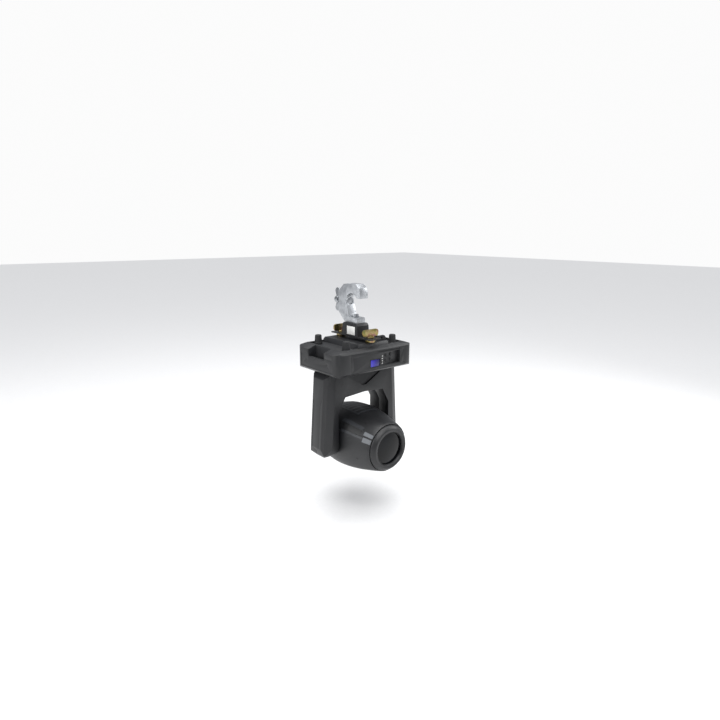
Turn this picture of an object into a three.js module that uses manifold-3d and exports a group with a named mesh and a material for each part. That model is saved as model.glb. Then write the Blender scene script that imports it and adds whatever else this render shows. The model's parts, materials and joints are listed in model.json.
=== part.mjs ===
// Moving head light, hanging below a truss tube on a hook clamp.
// Millimetres, +Z up. The origin is on the axis of the truss tube, in the middle of the clamp.
// +X runs along the tube, -Y is the side with the display, and the lens points to -Y at rest.

import * as THREE from 'three';
import { mergeVertices } from 'three/addons/utils/BufferGeometryUtils.js';
import Module from 'manifold-3d';

const wasm = await Module();
wasm.setup();

// ---------------------------------------------------------------- driving dimensions

const gap = 0.3;                  // between pieces that touch
const wall = 3;                   // moulded covers

// clamp and bracket
const tubeDiameter = 50;
const clampWidth = 30;            // along the tube
const clampBlockTop = -44;
const clampBlockBottom = -60;
const clampSpineBack = 60;        // back face of the hook behind the tube axis
const screwDiameter = 11.4;       // M12 thread, modelled at its pitch diameter
const screwClearance = 0.6;       // added to the diameter of a hole for it
const padDiameter = 20;
const padThickness = 7;
const padTravel = 6;
const hexAcrossFlats = 18;
const bracketWidth = 44;          // along X
const bracketLength = 176;        // along Y
const bracketTopLength = 64;
const bracketSheet = 4;
const bracketFlangeTop = -96.5;
const camlockSpacing = 132;       // between the two quarter-turn locks, along Y
const camlockWingLength = 58;
const camlockWingTop = -72;

// base
const baseWidth = 286;            // along X
const baseDepth = 198;            // along Y
const baseCorner = 17;            // leg of the vertical corner chamfers
const baseTop = -117;
const baseShoulder = -127;        // where the top slopes meet the vertical faces
const baseBottom = -188;
const baseBottomBevel = 7;
const sideSlope = 28;             // run of the top slope at the two ends
const frontSlope = 16;            // run of the top slope at the front and back
const rimWidth = 4;
const trayFloor = -122;           // top face of the plate that carries the feet
const traySheet = 3;
const plateauTop = -108;
const plateauWidth = 106;
const plateauDepth = 168;
const plateauSlope = 6;
const footDiameter = 22;
const footHeight = 26;
const footSpacingX = 174;
const footSpacingY = 130;

const safetyEyeBore = 7;
const safetyEyeX = 46;
const safetyEyeY = -60;
const safetyEyeZ = -102.3;

// handles in the two ends of the base
const handlePanelWidth = 144;
const handlePanelTop = -141;
const handlePanelBottom = -178;
const pocketWidth = 78;
const pocketDepth = 28;
const pocketFloor = -172;
const gripThickness = 8;
const gripTop = -147;

// display panel
const panelLeft = -96;
const panelRight = 108;
const panelTop = -128;
const panelBottom = -182;
const panelThickness = 3;
const panelRecessDepth = 12;
const lcdWidth = 34;
const lcdHeight = 20;
const lcdCentreX = -8;
const lcdCentreZ = -163;
const buttonDiameter = 8;
const buttonTravel = 1;

// connector panel
const socketDiameter = 26;
const socketBore = 19;
const socketDepth = 22;
const socketSpacing = 60;

// pan drive
const panShaftDiameter = 40;
const panShaftBore = 28;
const panPulleyDiameter = 84;
const beltWidth = 6;
const beltThickness = 1.6;
const drivePulleyDiameter = 21;
const panMotorSize = 42;
const panMotorX = -76;
const chassisTop = -146;
const chassisSheet = 2;
const panPulleyTop = -173;

// yoke
const yokeTop = -191;
const yokeDepth = 86;             // along Y
const yokeHalfTop = 134;          // half width where the arms leave the base
const yokeHalfBottom = 148;       // half width at the tilt axis
const armInner = 97;              // half the space between the arms
const archTop = -260;
const crossbarRecessDepth = 5;
const recessHalfWidth = 60;
const recessShoulderZ = -209;
const recessPointZ = -239;
const tiltAxisZ = -404;
const frameSheet = 3;
const frameOffset = 6;            // from the inner face of an arm to the frame plate
const tiltPulleyDiameter = 48;
const tiltMotorSize = 35;
const tiltMotorLength = 19;
const tiltMotorZ = -292;
const tiltShaftDiameter = 24;
const tiltShaftBore = 14;
const bearingBoss = 8;            // how far a bearing boss stands proud of the frame

// head
const headFront = 146;            // from the tilt axis to the front edge of the covers
const headBack = 122;             // from the tilt axis to the back face
const headRadius = 91;            // at the tilt axis
const headWall = 2.5;
const bezelDiameter = 118;
const bezelLength = 13;
const bezelWall = 11;
const lensBulge = 5;
const seamHeight = 42;            // of the joint between the covers, above the tilt axis
const rearCoverLength = 42;
const wheelDiameter = 96;
const fanSize = 80;

// ---------------------------------------------------------------- solids and meshes

function solidOf(geometry) {
  const bare = geometry.index ? geometry.toNonIndexed() : geometry.clone();
  for (const name of Object.keys(bare.attributes)) {
    if (name !== 'position') bare.deleteAttribute(name);
  }
  const merged = mergeVertices(bare, 1e-4);
  const mesh = new wasm.Mesh({
    numProp: 3,
    vertProperties: new Float32Array(merged.attributes.position.array),
    triVerts: new Uint32Array(merged.index.array),
  });
  return new wasm.Manifold(mesh);
}

function geometryOf(solid) {
  const mesh = solid.getMesh();
  const geometry = new THREE.BufferGeometry();
  geometry.setAttribute('position', new THREE.BufferAttribute(new Float32Array(mesh.vertProperties), 3));
  geometry.setIndex(new THREE.BufferAttribute(new Uint32Array(mesh.triVerts), 1));
  geometry.computeVertexNormals();
  return geometry;
}

const join = (...solids) => solids.reduce((all, next) => all.add(next));
const cut = (solid, ...tools) => tools.reduce((left, tool) => left.subtract(tool), solid);
const common = (...solids) => solids.reduce((all, next) => all.intersect(next));

function piece(name, solid, finish) {
  const mesh = new THREE.Mesh(geometryOf(solid), finish);
  mesh.name = name;
  return mesh;
}

function finishOf(color, roughness, metalness) {
  return new THREE.MeshStandardMaterial({ color, roughness, metalness });
}

const finishes = {
  casing: finishOf(0x2b2c2f, 0.55, 0),
  rubber: finishOf(0x17181a, 0.8, 0),
  blackSteel: finishOf(0x1f2023, 0.5, 0.6),
  castAluminium: finishOf(0xb9bbbd, 0.45, 1),
  steel: finishOf(0x9a9da0, 0.35, 1),
  yellowZinc: finishOf(0xb79b55, 0.35, 1),
  glass: finishOf(0x1a2026, 0.05, 0),
  screen: finishOf(0x4a3fd0, 0.2, 0),
  board: finishOf(0x1d5a34, 0.5, 0),
  belt: finishOf(0x101112, 0.7, 0),
  colour: finishOf(0x6a7fb5, 0.1, 0.2),
  label: finishOf(0xe8e8e6, 0.6, 0),
  blue: finishOf(0x2f5fa8, 0.5, 0),
  grey: finishOf(0x9a9c9e, 0.5, 0),
};

// A box between two corners.
function block(x0, x1, y0, y1, z0, z1) {
  const geometry = new THREE.BoxGeometry(x1 - x0, y1 - y0, z1 - z0);
  geometry.translate((x0 + x1) / 2, (y0 + y1) / 2, (z0 + z1) / 2);
  return solidOf(geometry);
}

// Turns local Z towards X, Y or Z; the section's two axes become the two others in order.
function aim(geometry, axis) {
  const x = new THREE.Vector3(1, 0, 0);
  const y = new THREE.Vector3(0, 1, 0);
  const z = new THREE.Vector3(0, 0, 1);
  const turn = new THREE.Matrix4();
  if (axis === 'x') turn.makeBasis(y, z, x);
  if (axis === 'y') turn.makeBasis(x, z, y.clone().negate());
  geometry.applyMatrix4(turn);
  return geometry;
}

// A round bar along an axis, from one place to another, centred on the two other coordinates.
function rod(axis, diameter, from, to, centre, sides = 32) {
  const geometry = new THREE.CylinderGeometry(diameter / 2, diameter / 2, to - from, sides);
  geometry.rotateX(Math.PI / 2);
  geometry.translate(0, 0, (from + to) / 2);
  return roundPlaced(geometry, axis, centre);
}

function roundPlaced(geometry, axis, [a, b]) {
  if (axis === 'x') {
    aim(geometry, 'x');
    geometry.translate(0, a, b);
  }
  if (axis === 'y') {
    geometry.rotateX(-Math.PI / 2);
    geometry.translate(a, 0, b);
  }
  if (axis === 'z') geometry.translate(a, b, 0);
  return solidOf(geometry);
}

function ring(axis, outer, inner, from, to, centre, sides = 40) {
  return cut(rod(axis, outer, from, to, centre, sides), rod(axis, inner, from - 1, to + 1, centre, sides));
}

function shapeOf(points) {
  return new THREE.Shape(points.map(([u, v]) => new THREE.Vector2(u, v)));
}

// The points of a curve, without any that repeat the one before.
function distinctPoints(curve, divisions) {
  const points = curve.getPoints(divisions);
  return points.filter((p, i) => p.distanceTo(points[(i + points.length - 1) % points.length]) > 1e-3);
}

// An outline pushed along an axis: along X it is (y, z), along Y it is (x, z), along Z it is (x, y).
function slab(outline, axis, from, to, divisions = 8) {
  const drawn = Array.isArray(outline) ? shapeOf(outline) : outline;
  const shape = new THREE.Shape(distinctPoints(drawn, divisions));
  shape.holes = drawn.holes.map((hole) => new THREE.Path(distinctPoints(hole, divisions)));
  const geometry = new THREE.ExtrudeGeometry(shape, { depth: to - from, bevelEnabled: false });
  aim(geometry, axis);
  if (axis === 'x') geometry.translate(from, 0, 0);
  if (axis === 'y') geometry.translate(0, to, 0);
  if (axis === 'z') geometry.translate(0, 0, from);
  return solidOf(geometry);
}

function rectangle(width, height, corner, u = 0, v = 0) {
  const shape = new THREE.Shape();
  const a = width / 2;
  const b = height / 2;
  shape.moveTo(u - a + corner, v - b);
  shape.lineTo(u + a - corner, v - b);
  shape.absarc(u + a - corner, v - b + corner, corner, -Math.PI / 2, 0, false);
  shape.lineTo(u + a, v + b - corner);
  shape.absarc(u + a - corner, v + b - corner, corner, 0, Math.PI / 2, false);
  shape.lineTo(u - a + corner, v + b);
  shape.absarc(u - a + corner, v + b - corner, corner, Math.PI / 2, Math.PI, false);
  shape.lineTo(u - a, v - b + corner);
  shape.absarc(u - a + corner, v - b + corner, corner, Math.PI, 1.5 * Math.PI, false);
  return shape;
}

function hexagon(acrossFlats, u = 0, v = 0) {
  const radius = acrossFlats / Math.sqrt(3);
  const corners = [0, 1, 2, 3, 4, 5].map((k) => k * Math.PI / 3);
  return corners.map((angle) => [u + radius * Math.cos(angle), v + radius * Math.sin(angle)]);
}

function chamferedRectangle(width, depth, corner) {
  const a = width / 2;
  const b = depth / 2;
  return [
    [-a + corner, -b], [a - corner, -b], [a, -b + corner], [a, b - corner],
    [a - corner, b], [-a + corner, b], [-a, b - corner], [-a, -b + corner],
  ];
}

// A ring of belt around two pulleys of different size, in the plane across `axis`.
function beltAround(axis, from, to, [u1, v1], diameter1, [u2, v2], diameter2) {
  const loop = (extra) => {
    const r1 = diameter1 / 2 + extra;
    const r2 = diameter2 / 2 + extra;
    const length = Math.hypot(u2 - u1, v2 - v1);
    const heading = Math.atan2(v2 - v1, u2 - u1);
    const lean = Math.acos((r1 - r2) / length);
    const shape = new THREE.Shape();
    shape.absarc(u1, v1, r1, heading + lean, heading + 2 * Math.PI - lean, false);
    shape.absarc(u2, v2, r2, heading - lean, heading + lean, false);
    return shape;
  };
  const outer = slab(loop(gap + beltThickness), axis, from, to, 20);
  return cut(outer, slab(loop(gap + 0.2), axis, from - 1, to + 1, 20));
}

// ---------------------------------------------------------------- clamp and bracket

function clampHook() {
  const seat = tubeDiameter / 2 + 0.5;
  const lip = 12;
  const lipAngle = Math.PI - Math.asin(lip / seat);
  const shape = new THREE.Shape();
  const lipFront = seat + 11;
  shape.moveTo(-25, clampBlockBottom);
  shape.lineTo(32, clampBlockBottom);
  shape.lineTo(clampSpineBack, -32);
  shape.lineTo(clampSpineBack, 20);
  shape.lineTo(clampSpineBack - 9, 36);
  shape.lineTo(36, seat + 24);
  shape.lineTo(18, seat + 26.5);
  shape.lineTo(-18, seat + 26.5);
  shape.lineTo(-lipFront + 5, seat + 17);
  shape.lineTo(-lipFront, seat + 6);
  shape.lineTo(-lipFront, lip);
  shape.lineTo(seat * Math.cos(lipAngle), lip);
  shape.absarc(0, 0, seat, lipAngle, -0.7, true);
  shape.lineTo(16, clampBlockTop + 12);
  shape.lineTo(11.5, clampBlockTop);
  shape.lineTo(-25, clampBlockTop);
  const body = slab(shape, 'x', -clampWidth / 2, clampWidth / 2);
  const padPocket = rod('y', padDiameter + 0.6, 5, seat + padThickness + padTravel + 1, [0, 0]);
  const screwHole = rod('y', screwDiameter + screwClearance, 5, clampSpineBack + 1, [0, 0]);
  const boltHole = rod('z', screwDiameter + screwClearance, clampBlockBottom - 1, clampBlockTop + 1, [-6, 0]);
  const boltPlace = boltHole.translate([6, 0, 0]);
  return piece('clamp_hook', cut(body, padPocket, screwHole, boltPlace), finishes.castAluminium);
}

const padFace = tubeDiameter / 2 + gap;

function clampPressurePad() {
  const pad = rod('y', padDiameter, padFace, padFace + padThickness, [0, 0]);
  return piece('clamp_pressure_pad', pad, finishes.steel);
}

function clampWingBolt() {
  const start = padFace + padThickness + gap;
  const hubStart = clampSpineBack + padTravel + 8;
  const hubEnd = hubStart + 14;
  const shank = rod('y', screwDiameter, start, hubStart + 1, [0, 0], 24);
  const hub = rod('y', 20, hubStart, hubEnd, [0, 0], 24);
  const wings = new THREE.Shape();
  wings.moveTo(-5, -8);
  wings.lineTo(-11, -24);
  wings.absarc(0, -24, 11, Math.PI, 2 * Math.PI, false);
  wings.lineTo(5, -8);
  wings.lineTo(5, 8);
  wings.lineTo(11, 24);
  wings.absarc(0, 24, 11, 0, Math.PI, false);
  wings.lineTo(-5, 8);
  const tabs = slab(wings, 'x', -2.5, 2.5).translate([0, (hubStart + hubEnd) / 2, 0]);
  return piece('clamp_wing_bolt', join(shank, hub, tabs), finishes.steel);
}

function mountingBolt() {
  const head = slab(hexagon(hexAcrossFlats), 'z', clampBlockTop + gap, clampBlockTop + gap + 7.5);
  const shank = rod('z', screwDiameter, clampBlockBottom - bracketSheet - 17, clampBlockTop + gap + 1, [0, 0], 24);
  return piece('mounting_bolt', join(head, shank), finishes.steel);
}

const bracketTop = clampBlockBottom - gap;

function omegaBracket() {
  const half = bracketLength / 2;
  const topHalf = bracketTopLength / 2;
  const flangeBottom = bracketFlangeTop - bracketSheet + 0.5;
  const hat = [
    [-half, flangeBottom], [half, flangeBottom], [half, bracketFlangeTop], [topHalf + 4, bracketFlangeTop],
    [topHalf + 1, bracketTop - 6], [topHalf - 4, bracketTop], [-topHalf + 4, bracketTop],
    [-topHalf - 1, bracketTop - 6], [-topHalf - 4, bracketFlangeTop], [-half, bracketFlangeTop],
  ];
  const under = [
    [-topHalf, flangeBottom - 1], [topHalf, flangeBottom - 1],
    [topHalf - 3, bracketTop - 8], [topHalf - 7, bracketTop - bracketSheet],
    [-topHalf + 7, bracketTop - bracketSheet], [-topHalf + 3, bracketTop - 8],
  ];
  const outer = slab(hat, 'x', -bracketWidth / 2, bracketWidth / 2);
  const hollow = slab(under, 'x', -bracketWidth / 2 + bracketSheet - 1, bracketWidth / 2 - bracketSheet + 1);
  const boltHole = rod('z', screwDiameter + screwClearance, bracketTop - 20, bracketTop + 1, [0, 0], 24);
  const lockHoles = [-1, 1].map((side) => (
    rod('z', camlockStem + 1, flangeBottom - 1, bracketFlangeTop + 1, [0, side * camlockSpacing / 2], 24)
  ));
  const weldNut = slab(hexagon(hexAcrossFlats), 'z', bracketTop - bracketSheet - 10, bracketTop - 1);
  const sheet = join(cut(outer, hollow), weldNut);
  return piece('omega_bracket', cut(sheet, boltHole, ...lockHoles), finishes.blackSteel);
}

const camlockStem = 12;
const camlockRing = 30;
const bracketFlangeBottom = bracketFlangeTop - bracketSheet + 0.5;

// A quarter-turn lock: a winged knob above the bracket, on a stem with a cross bar below.
function camlock(name, side) {
  const y = side * camlockSpacing / 2;
  const bottom = bracketFlangeTop + gap;
  const stem = rod('z', camlockStem, trayFloor - 12, bottom + 1, [0, y], 20);
  const bar = block(-9, 9, y - 3, y + 3, trayFloor - 12, trayFloor - 8);
  const hub = rod('z', 22, bottom, bottom + 5, [0, y], 24);
  const wingBottom = bottom + 4;
  const height = camlockWingTop - wingBottom;
  const wing = slab(rectangle(camlockWingLength, height, 8, 0, wingBottom + height / 2), 'y', y - 2.5, y + 2.5);
  return piece(name, join(stem, bar, hub, wing), finishes.yellowZinc);
}

// The slotted ring on the plateau that the lock's cross bar passes through.
function camlockReceptacle(name, side) {
  const y = side * camlockSpacing / 2;
  const bottom = plateauTop + gap;
  const top = bracketFlangeBottom - gap;
  const body = rod('z', camlockRing, bottom, top, [0, y], 32);
  const bore = rod('z', camlockStem + 1, bottom - 1, top + 1, [0, y], 24);
  const slot = block(-10, 10, y - 4, y + 4, bottom - 1, top + 1);
  return piece(name, cut(body, bore, slot), finishes.yellowZinc);
}

// ---------------------------------------------------------------- base

// The outside of the base, or the same shape with every face moved in by `inset`.
function baseEnvelope(inset) {
  const plan = slab(
    chamferedRectangle(baseWidth - 2 * inset, baseDepth - 2 * inset, baseCorner - inset * 0.4),
    'z', baseBottom + inset, baseTop,
  );
  const side = (half, run) => {
    const a = half - inset;
    return [
      [-a + baseBottomBevel, baseBottom + inset], [a - baseBottomBevel, baseBottom + inset],
      [a, baseBottom + baseBottomBevel + inset], [a, baseShoulder - inset], [a - run, baseTop - inset],
      [-a + run, baseTop - inset], [-a, baseShoulder - inset], [-a, baseBottom + baseBottomBevel + inset],
    ];
  };
  const ends = slab(side(baseWidth / 2, sideSlope), 'y', -baseDepth, baseDepth);
  const faces = slab(side(baseDepth / 2, frontSlope), 'x', -baseWidth, baseWidth);
  return common(plan, ends, faces);
}

const trayWidth = baseWidth - 2 * sideSlope - 2 * rimWidth;
const trayDepth = baseDepth - 2 * frontSlope - 2 * rimWidth;
const bottomPlateInset = baseBottomBevel + 2;

function connectorPanelBox(clearance) {
  return [-panelRight - clearance, panelRight + clearance, panelBottom - clearance, panelTop + clearance];
}

function baseShell() {
  const shell = cut(baseEnvelope(0), baseEnvelope(wall));
  const trayOpening = block(-trayWidth / 2, trayWidth / 2, -trayDepth / 2, trayDepth / 2, baseTop - 8, baseTop + 1);
  const notch = block(
    -plateauWidth / 2 - plateauSlope - gap, plateauWidth / 2 + plateauSlope + gap,
    -plateauDepth / 2 - gap, plateauDepth / 2 + gap, baseTop - 12, baseTop + 1,
  );
  const below = slab(
    chamferedRectangle(baseWidth - 2 * bottomPlateInset, baseDepth - 2 * bottomPlateInset, baseCorner - 4),
    'z', baseBottom - 1, baseBottom + wall + 1,
  );
  const displayWindow = block(
    panelLeft - gap, panelRight + gap, -baseDepth, -baseDepth / 2 + 8, panelBottom - gap, panelTop + gap,
  );
  const [x0, x1, z0, z1] = connectorPanelBox(gap);
  const connectorWindow = block(x0, x1, baseDepth / 2 - 8, baseDepth, z0, z1);
  const endCuts = [-1, 1].map((side) => {
    const outside = side * (baseWidth / 2 + 1);
    const inside = side * (baseWidth / 2 - pocketDepth - gap);
    const skin = side * (baseWidth / 2 - 5);
    const panel = block(
      Math.min(outside, skin), Math.max(outside, skin), -handlePanelWidth / 2 - gap, handlePanelWidth / 2 + gap,
      handlePanelBottom - gap, handlePanelTop + gap,
    );
    const pocket = block(
      Math.min(outside, inside), Math.max(outside, inside), -pocketWidth / 2 - gap, pocketWidth / 2 + gap,
      pocketFloor - gap, baseTop + 1,
    );
    return join(panel, pocket);
  });
  const solid = cut(shell, trayOpening, notch, below, displayWindow, connectorWindow, ...endCuts);
  return piece('base_shell', solid, finishes.casing);
}

function baseBottomPlate() {
  const inset = bottomPlateInset + gap;
  const plate = slab(
    chamferedRectangle(baseWidth - 2 * inset, baseDepth - 2 * inset, baseCorner - 4),
    'z', baseBottom, baseBottom + wall,
  );
  const hole = rod('z', panShaftDiameter + 16, baseBottom - 1, baseBottom + wall + 1, [0, 0], 40);
  return piece('base_bottom_plate', cut(plate, hole), finishes.casing);
}

// The sheet that carries the feet, with a raised plateau for the bracket.
function baseTopPlate() {
  const lap = 3;
  const a = plateauWidth / 2;
  const slope = plateauSlope;
  const rise = (edge) => [
    [-edge - slope, trayFloor - 1], [edge + slope, trayFloor - 1], [edge + slope - 3, plateauTop - 5],
    [edge, plateauTop], [-edge, plateauTop], [-edge - slope + 3, plateauTop - 5],
  ];
  const plate = block(
    -trayWidth / 2 - lap, trayWidth / 2 + lap, -trayDepth / 2 - lap, trayDepth / 2 + lap,
    trayFloor - traySheet, trayFloor,
  );
  const b = plateauDepth / 2;
  const raised = common(slab(rise(a), 'y', -b, b), slab(rise(b - slope), 'x', -a - slope, a + slope));
  const inner = (edge) => [
    [-edge - slope + wall, trayFloor - traySheet - 1], [edge + slope - wall, trayFloor - traySheet - 1],
    [edge + slope - 3 - wall, plateauTop - 5 - traySheet / 2], [edge - 1, plateauTop - traySheet],
    [-edge + 1, plateauTop - traySheet], [-edge - slope + 3 + wall, plateauTop - 5 - traySheet / 2],
  ];
  const hollow = common(slab(inner(a), 'y', -b, b), slab(inner(b - slope), 'x', -a - slope, a + slope));
  const stems = [-1, 1].map((side) => {
    const y = side * camlockSpacing / 2;
    const bore = rod('z', camlockStem + 1, trayFloor - 20, plateauTop + 1, [0, y], 24);
    return join(bore, block(-10, 10, y - 4, y + 4, plateauTop - 8, plateauTop + 1));
  });
  return piece('base_top_plate', cut(join(plate, raised), hollow, ...stems), finishes.casing);
}

function rubberFoot(name, sideX, sideY) {
  const r = footDiameter / 2;
  const profile = [
    [0, trayFloor + gap], [r + 1, trayFloor + gap], [r + 1, trayFloor + 3], [r, trayFloor + 4],
    [r - 1.5, trayFloor + footHeight - 1.5], [r - 3, trayFloor + footHeight], [0, trayFloor + footHeight],
  ];
  const geometry = new THREE.LatheGeometry(profile.map(([u, v]) => new THREE.Vector2(u, v)), 28);
  geometry.rotateX(Math.PI / 2);
  geometry.translate(sideX * footSpacingX / 2, sideY * footSpacingY / 2, 0);
  return piece(name, solidOf(geometry), finishes.rubber);
}

// A moulded hand pocket with the grip bar across its outer side.
function handle(name, side) {
  const face = baseWidth / 2 - 0.5;
  const back = baseWidth / 2 - pocketDepth;
  const plate = block(face - wall, face, -handlePanelWidth / 2, handlePanelWidth / 2, handlePanelBottom, handlePanelTop);
  const cup = block(back, face, -pocketWidth / 2, pocketWidth / 2, pocketFloor, baseTop);
  const space = block(
    back + 2.5, face - gripThickness, -pocketWidth / 2 + 2.5, pocketWidth / 2 - 2.5, pocketFloor + 2.5, baseTop + 1,
  );
  const reach = block(back + 2.5, face + 5, -pocketWidth / 2 + 2.5, pocketWidth / 2 - 2.5, gripTop, baseTop + 1);
  const screws = [-1, 1].map((end) => rod('x', 6, face - wall - 1, face + 1, [end * 49, -159], 16));
  const whole = common(cut(join(plate, cup), space, reach, ...screws), baseEnvelope(gap));
  const placed = side > 0 ? whole : whole.mirror([1, 0, 0]);
  return piece(name, placed, finishes.casing);
}

const panelFace = -baseDepth / 2 + 0.4;
const recessLeft = 14;
const recessRight = 87;
const recessTop = -136;
const panelSlotLeft = 0;
const panelSlotZ = -131.5;
const panelSlotHeight = 3;
const recessBottom = -173;
const recessSlope = Math.atan2(panelRecessDepth, recessRight - recessLeft);

function buttonPlace(column, row) {
  const x = 34 + column * 20;
  const z = -146 - row * 15;
  const y = panelFace + (x - recessLeft) * Math.tan(recessSlope);
  return [x, y, z];
}

const buttonGrid = [[0, 0], [1, 0], [0, 1], [1, 1]];

// A short bar square to the sloping floor of the recess, with its axis through a button's place.
function recessRod(diameter, from, to, [x, y, z]) {
  const geometry = new THREE.CylinderGeometry(diameter / 2, diameter / 2, to - from, 20);
  geometry.translate(0, (from + to) / 2, 0);
  geometry.rotateZ(recessSlope);
  geometry.translate(x, y, z);
  return solidOf(geometry);
}

function displayPanel() {
  const plate = block(panelLeft, panelRight, panelFace, panelFace + panelThickness, panelBottom, panelTop);
  const backing = block(
    recessLeft - 4, recessRight + 3, panelFace, panelFace + panelRecessDepth + 3, recessBottom - 3, panelTop - 0.5,
  );
  const wedge = slab([
    [recessLeft, panelFace - 1], [recessRight, panelFace - 1],
    [recessRight, panelFace + panelRecessDepth], [recessLeft, panelFace],
  ], 'z', recessBottom, recessTop);
  const slot = block(
    panelSlotLeft, recessRight, panelFace - 1, panelFace + 2, panelSlotZ - panelSlotHeight / 2,
    panelSlotZ + panelSlotHeight / 2,
  );
  const lcdWindow = block(
    lcdCentreX - lcdWidth / 2 - gap, lcdCentreX + lcdWidth / 2 + gap, panelFace - 1, panelFace + panelThickness + 1,
    lcdCentreZ - lcdHeight / 2 - gap, lcdCentreZ + lcdHeight / 2 + gap,
  );
  const screws = [[-88, -139], [100, -139], [-88, -175.5], [100, -175.5]].map(([x, z]) => (
    rod('y', 5, panelFace - 1, panelFace + panelThickness + 1, [x, z], 16)
  ));
  const buttons = buttonGrid.map(([c, r]) => recessRod(buttonDiameter + 0.8, -8, 12, buttonPlace(c, r)));
  const solid = cut(join(plate, backing), wedge, slot, lcdWindow, ...screws, ...buttons);
  return piece('display_panel', solid, finishes.casing);
}

function lcdScreen() {
  const screen = block(
    lcdCentreX - lcdWidth / 2, lcdCentreX + lcdWidth / 2, panelFace + 0.8, panelFace + panelThickness + 1,
    lcdCentreZ - lcdHeight / 2, lcdCentreZ + lcdHeight / 2,
  );
  return piece('lcd_screen', screen, finishes.screen);
}

function menuButton(index) {
  const [column, row] = buttonGrid[index];
  const cap = recessRod(buttonDiameter, -2, 5, buttonPlace(column, row));
  return piece(`menu_button_${index + 1}`, cap, finishes.rubber);
}

const sockets = [
  { name: 'power_inlet', finish: 'blue' },
  { name: 'data_input', finish: 'steel' },
  { name: 'data_output', finish: 'steel' },
];
const socketZ = (panelTop + panelBottom) / 2;
const socketX = (index) => (1 - index) * socketSpacing;
const rearFace = baseDepth / 2 - 0.4;

function connectorPanel() {
  const [x0, x1, z0, z1] = connectorPanelBox(0);
  const plate = block(x0, x1, rearFace - panelThickness, rearFace, z0, z1);
  const holes = sockets.map((socket, index) => (
    rod('y', socketDiameter + 2 * gap, rearFace - 10, rearFace + 1, [socketX(index), socketZ], 32)
  ));
  return piece('connector_panel', cut(plate, ...holes), finishes.casing);
}

// A round panel socket with an open front.
function socket({ name, finish }, index) {
  const centre = [socketX(index), socketZ];
  const barrel = rod('y', socketDiameter, rearFace - socketDepth, rearFace - 0.2, centre, 32);
  const bore = rod('y', socketBore, rearFace - socketDepth + 4, rearFace + 1, centre, 32);
  return piece(name, cut(barrel, bore), finishes[finish]);
}

// The steel plate inside the base, with the housing of the pan bearing.
function chassisPlate() {
  const a = baseWidth / 2 - pocketDepth - 4;
  const b = baseDepth / 2 - 26;
  const plate = block(-a, a, -b, b, chassisTop - chassisSheet, chassisTop);
  const shaft = rod('z', panShaftDiameter + 2 * gap, chassisTop - 20, chassisTop + 1, [0, 0], 40);
  const motorShaft = rod('z', 24, chassisTop - 5, chassisTop + 1, [panMotorX, 0], 24);
  const housing = rod('z', panShaftDiameter + 20, chassisTop - chassisSheet - 13, chassisTop - 1, [0, 0], 40);
  return piece('base_chassis', cut(join(plate, housing), shaft, motorShaft), finishes.steel);
}

function panMotor() {
  const a = panMotorSize / 2;
  const top = chassisTop - chassisSheet - gap;
  const body = slab(rectangle(panMotorSize, panMotorSize, 4, panMotorX, 0), 'z', panPulleyTop + 3, top);
  const shaft = rod('z', 5, panPulleyTop - beltWidth - 2, panPulleyTop + 4, [panMotorX, 0], 16);
  return piece('pan_motor', join(body, shaft), finishes.steel);
}

function panDrivePulley() {
  const z1 = panPulleyTop;
  const pulley = ring('z', drivePulleyDiameter, 5 + 2 * gap, z1 - beltWidth - 1, z1, [panMotorX, 0], 24);
  return piece('pan_drive_pulley', pulley, finishes.steel);
}

function panBelt() {
  const belt = beltAround(
    'z', panPulleyTop - beltWidth - 0.5, panPulleyTop - 0.5,
    [0, 0], panPulleyDiameter, [panMotorX, 0], drivePulleyDiameter,
  );
  return piece('pan_belt', belt, finishes.belt);
}

function powerSupply() {
  const back = baseWidth / 2 - pocketDepth - 6;
  const box = block(56, back, -62, 62, baseBottom + wall + 1, chassisTop - chassisSheet - gap);
  return piece('power_supply', box, finishes.steel);
}

function mainBoard() {
  const board = block(-100, -20, -68, -30, chassisTop + 4, chassisTop + 5.6);
  const pillars = [[-95, -63], [-25, -63], [-95, -35], [-25, -35]].map(([x, y]) => (
    rod('z', 6, chassisTop + gap, chassisTop + 4.5, [x, y], 12)
  ));
  const chips = [[-80, -50, 12], [-52, -48, 16], [-32, -54, 8]].map(([x, y, s]) => (
    block(x - s / 2, x + s / 2, y - s / 2, y + s / 2, chassisTop + 5, chassisTop + 8)
  ));
  return piece('main_board', join(board, ...pillars, ...chips), finishes.board);
}

// The block with an eye for a safety cable, standing on the plateau's edge and the plate beside it.
function safetyEye() {
  const edge = plateauWidth / 2;
  const foot = trayFloor + gap;
  const shape = shapeOf([
    [31, plateauTop + gap], [edge + 0.5, plateauTop + gap], [edge + plateauSlope - 2, plateauTop - 5],
    [edge + plateauSlope + 1, foot], [64, foot], [64, -104], [57, -95.5], [36, -95.5], [31, -101],
  ]);
  const eye = new THREE.Path();
  eye.absarc(safetyEyeX, safetyEyeZ, safetyEyeBore / 2, 0, 2 * Math.PI, false);
  shape.holes.push(eye);
  return piece('safety_eye', slab(shape, 'y', safetyEyeY - 4, safetyEyeY + 4), finishes.blackSteel);
}

// ---------------------------------------------------------------- yoke

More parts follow.
